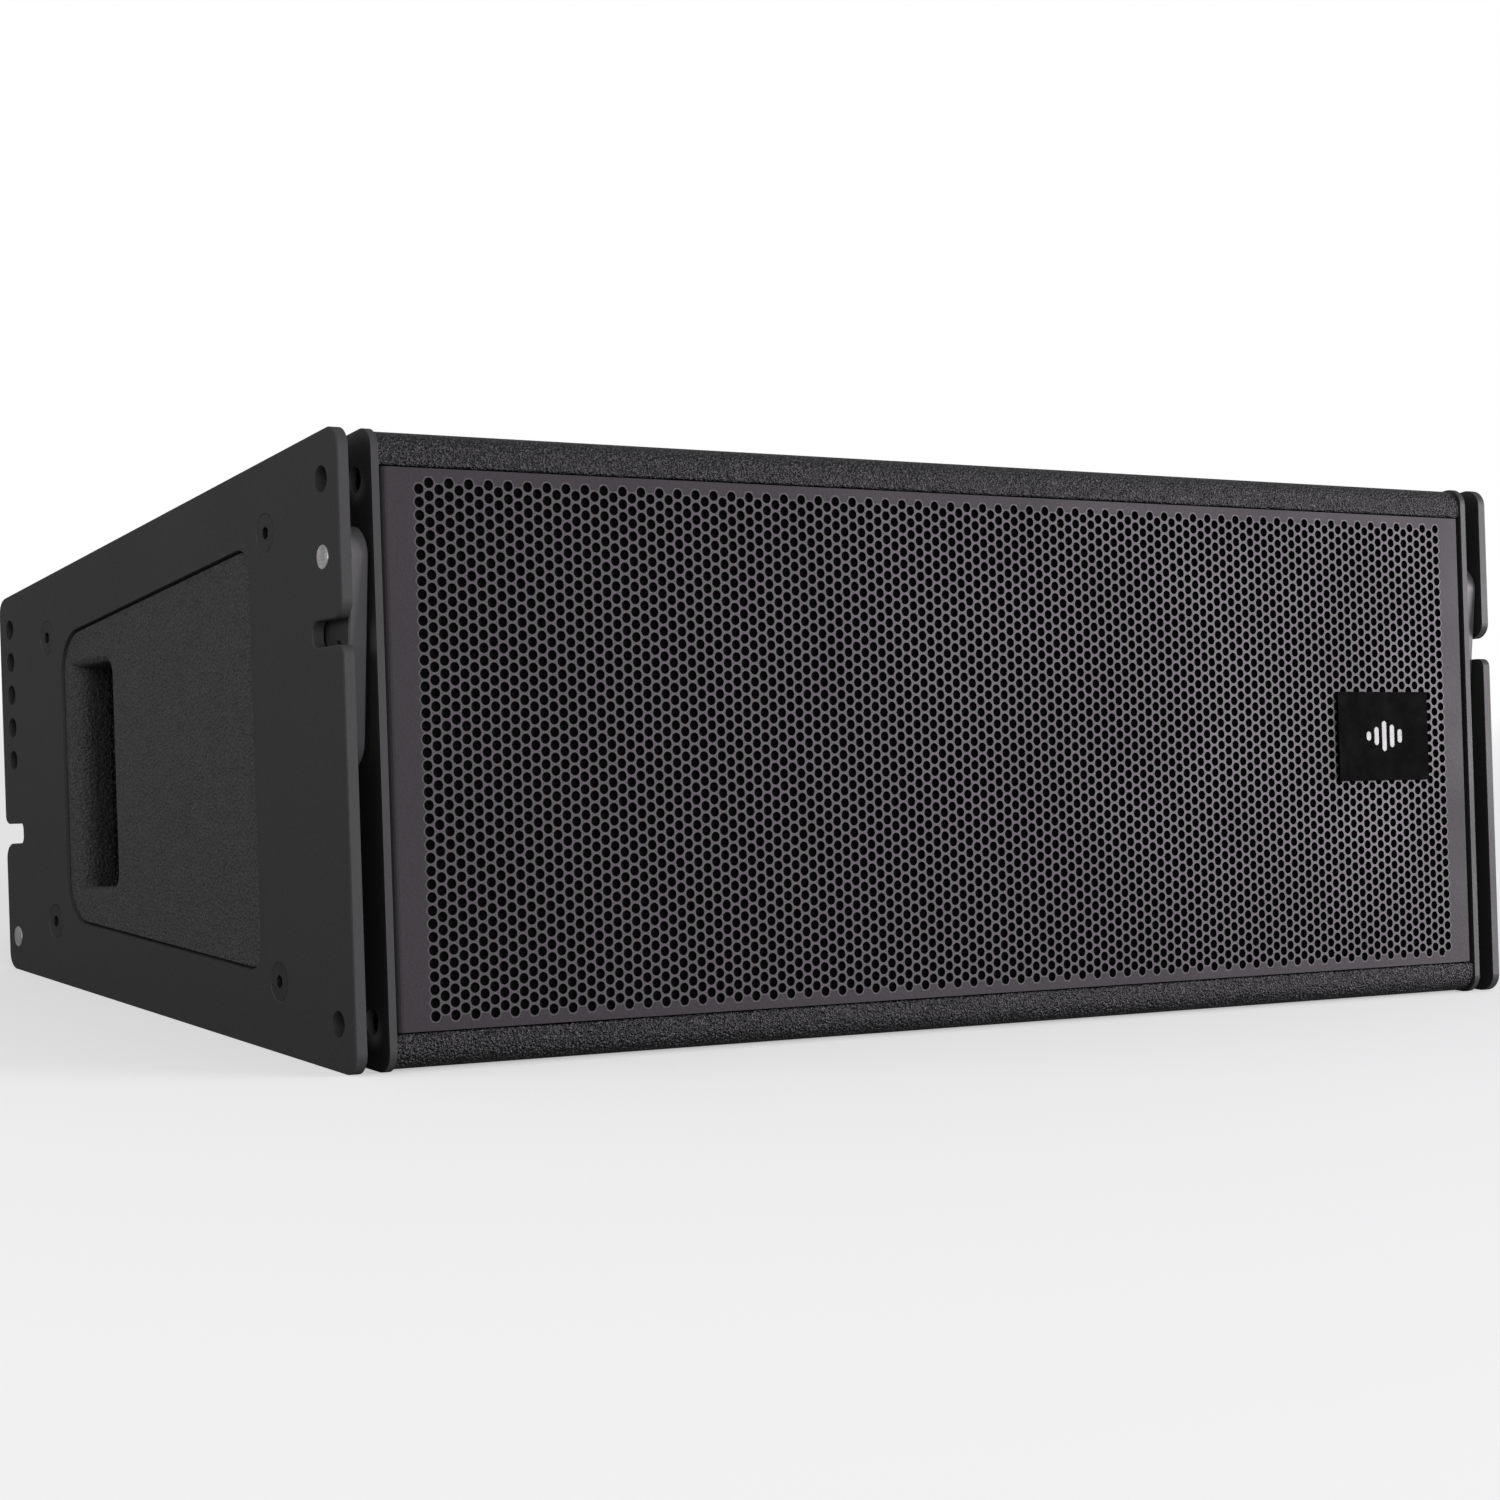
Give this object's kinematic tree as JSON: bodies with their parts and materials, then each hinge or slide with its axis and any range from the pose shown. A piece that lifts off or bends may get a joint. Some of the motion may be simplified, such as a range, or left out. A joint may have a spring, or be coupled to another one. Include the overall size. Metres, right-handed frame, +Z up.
{
  "type": "line array speaker",
  "caption": "Wedge shaped two way line array enclosure with a perforated grille, steel rigging plates, swinging coupling links and recessed hand grips.",
  "frame": {"origin": "middle of the bounding box at floor level, with the enclosure standing on the lower edges of its side plates", "axes": "+X to the right seen from the front, +Y to the rear, +Z up; the front leans back by the 6 degree rake"},
  "size_m": [0.7866, 0.4702, 0.3072],
  "materials": {
    "plate_paint": "matte textured black powder coat",
    "link_paint": "satin dark grey powder coat",
    "cabinet_paint": "plywood with coarse textured black paint",
    "baffle_wood": "bare birch plywood",
    "handle_plastic": "fine grained moulded plastic",
    "grille_paint": "satin dark grey powder coat on perforated steel",
    "acoustic_foam": "open cell foam",
    "badge_plastic": "black plastic",
    "black_screws": "black oxide steel",
    "bare_steel": "zinc plated steel",
    "cast_frame": "cast and painted black",
    "paper_cone": "pressed paper",
    "surround_rubber": "treated cloth and rubber half roll",
    "spider_cloth": "resin dipped cotton",
    "coil_copper": "lacquered copper wire",
    "motor_steel": "turned steel",
    "ferrite": "ground ferrite",
    "horn_plastic": "moulded ABS",
    "driver_housing": "painted motor housing",
    "driver_cover": "moulded rear cover",
    "circuit_board": "glass fibre circuit board",
    "capacitor_film": "film capacitor sleeve",
    "resistor_ceramic": "ceramic",
    "connector_metal": "satin black sheet steel",
    "socket_plastic": "moulded nylon"
  },
  "bodies": {
    "enclosure": {"badge": "badge_plastic", "baffle_screws": "black_screws", "cabinet_bottom_panel": "cabinet_paint", "cabinet_left_panel": "cabinet_paint", "cabinet_rear_panel": "cabinet_paint", "cabinet_right_panel": "cabinet_paint", "cabinet_top_panel": "cabinet_paint", "connector_plate": "connector_metal", "connector_plate_screws": "black_screws", "crossover_board": "circuit_board", "crossover_capacitors": "capacitor_film", "crossover_inductors": "coil_copper", "crossover_resistors": "resistor_ceramic", "crossover_standoffs": "bare_steel", "damping_foam": "acoustic_foam", "front_baffle": "baffle_wood", "grille": "grille_paint", "grille_foam": "acoustic_foam", "hf_waveguide": "horn_plastic", "input_socket": "socket_plastic", "left_chamber_divider": "baffle_wood", "left_handle_block": "handle_plastic", "left_handle_cup": "handle_plastic", "left_inner_plate": "plate_paint", "left_outer_plate": "plate_paint", "left_woofer_frame": "cast_frame", "left_woofer_magnet": "ferrite", "left_woofer_spider": "spider_cloth", "left_woofer_surround": "surround_rubber", "link_socket": "socket_plastic", "lower_driver_cover": "driver_cover", "lower_driver_motor": "driver_housing", "pivot_rivets": "bare_steel", "plate_screws": "black_screws", "plate_spacers": "bare_steel", "plate_tee_nuts": "bare_steel", "right_chamber_divider": "baffle_wood", "right_handle_block": "handle_plastic", "right_handle_cup": "handle_plastic", "right_inner_plate": "plate_paint", "right_outer_plate": "plate_paint", "right_woofer_frame": "cast_frame", "right_woofer_magnet": "ferrite", "right_woofer_spider": "spider_cloth", "right_woofer_surround": "surround_rubber", "upper_driver_cover": "driver_cover", "upper_driver_motor": "driver_housing", "woofer_top_plates": "motor_steel", "woofer_yokes": "motor_steel"},
    "left_front_link_body": {"left_front_link": "link_paint"},
    "left_rear_link_body": {"left_rear_link": "link_paint"},
    "left_woofer_moving_parts": {"left_woofer_cone": "paper_cone", "left_woofer_dust_cap": "paper_cone", "left_woofer_voice_coil": "coil_copper"},
    "right_front_link_body": {"right_front_link": "link_paint"},
    "right_rear_link_body": {"right_rear_link": "link_paint"},
    "right_woofer_moving_parts": {"right_woofer_cone": "paper_cone", "right_woofer_dust_cap": "paper_cone", "right_woofer_voice_coil": "coil_copper"}
  },
  "joints": [
    {"name": "left_front_link_hinge", "type": "hinge", "parent": "enclosure", "child": "left_front_link_body", "pos_m": [-0.381, -0.192, 0.24533], "axis": [-1, 0, 0], "range_deg": [-40, 225]},
    {"name": "left_rear_link_hinge", "type": "hinge", "parent": "enclosure", "child": "left_rear_link_body", "pos_m": [-0.381, 0.20057, 0.01976], "axis": [-1, 0, 0], "range_deg": [0, 280]},
    {"name": "left_woofer_travel", "type": "slide", "parent": "enclosure", "child": "left_woofer_moving_parts", "axis": [0, 0.9945, -0.1045], "range_m": [-0.004, 0.004], "stiffness_N_per_m": 3000, "deforming": ["left_woofer_surround", "left_woofer_spider"]},
    {"name": "right_front_link_hinge", "type": "hinge", "parent": "enclosure", "child": "right_front_link_body", "pos_m": [0.381, -0.192, 0.24533], "axis": [-1, 0, 0], "range_deg": [-40, 225]},
    {"name": "right_rear_link_hinge", "type": "hinge", "parent": "enclosure", "child": "right_rear_link_body", "pos_m": [0.381, 0.20057, 0.01976], "axis": [-1, 0, 0], "range_deg": [0, 280]},
    {"name": "right_woofer_travel", "type": "slide", "parent": "enclosure", "child": "right_woofer_moving_parts", "axis": [0, 0.9945, -0.1045], "range_m": [-0.004, 0.004], "stiffness_N_per_m": 3000, "deforming": ["right_woofer_surround", "right_woofer_spider"]}
  ]
}
